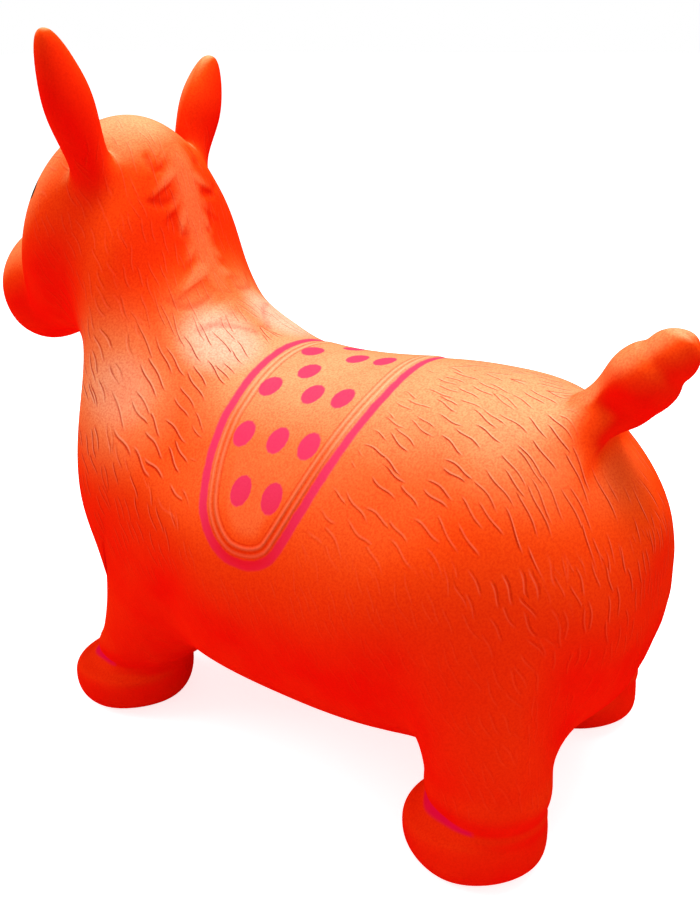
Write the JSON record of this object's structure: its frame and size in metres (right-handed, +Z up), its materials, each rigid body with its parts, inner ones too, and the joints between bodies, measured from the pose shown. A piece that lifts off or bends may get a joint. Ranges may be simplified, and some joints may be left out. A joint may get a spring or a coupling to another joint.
{
  "type": "inflatable hopper horse",
  "caption": "Inflatable bouncing horse for a child to sit on and hop, with a moulded saddle, upright ears, stub legs and tail, and a push-in air valve under the belly.",
  "frame": {"origin": "on the ground under the middle of the bounding box", "axes": "+Z up, the horse faces -Y, its left side is +X"},
  "size_m": [0.2766, 0.5204, 0.4888],
  "materials": {
    "skin": "satin soft vinyl with moulded hair strokes and sprayed pink paint",
    "bush": "satin soft vinyl",
    "plug": "satin white plastic"
  },
  "bodies": {
    "horse": {"body_skin": "skin", "valve_bush": "bush"},
    "plug": {"valve_plug": "plug"}
  },
  "joints": [
    {"name": "plug_pull", "type": "slide", "parent": "horse", "child": "plug", "axis": [0, 0, -1], "range_m": [0, 0.022]}
  ]
}
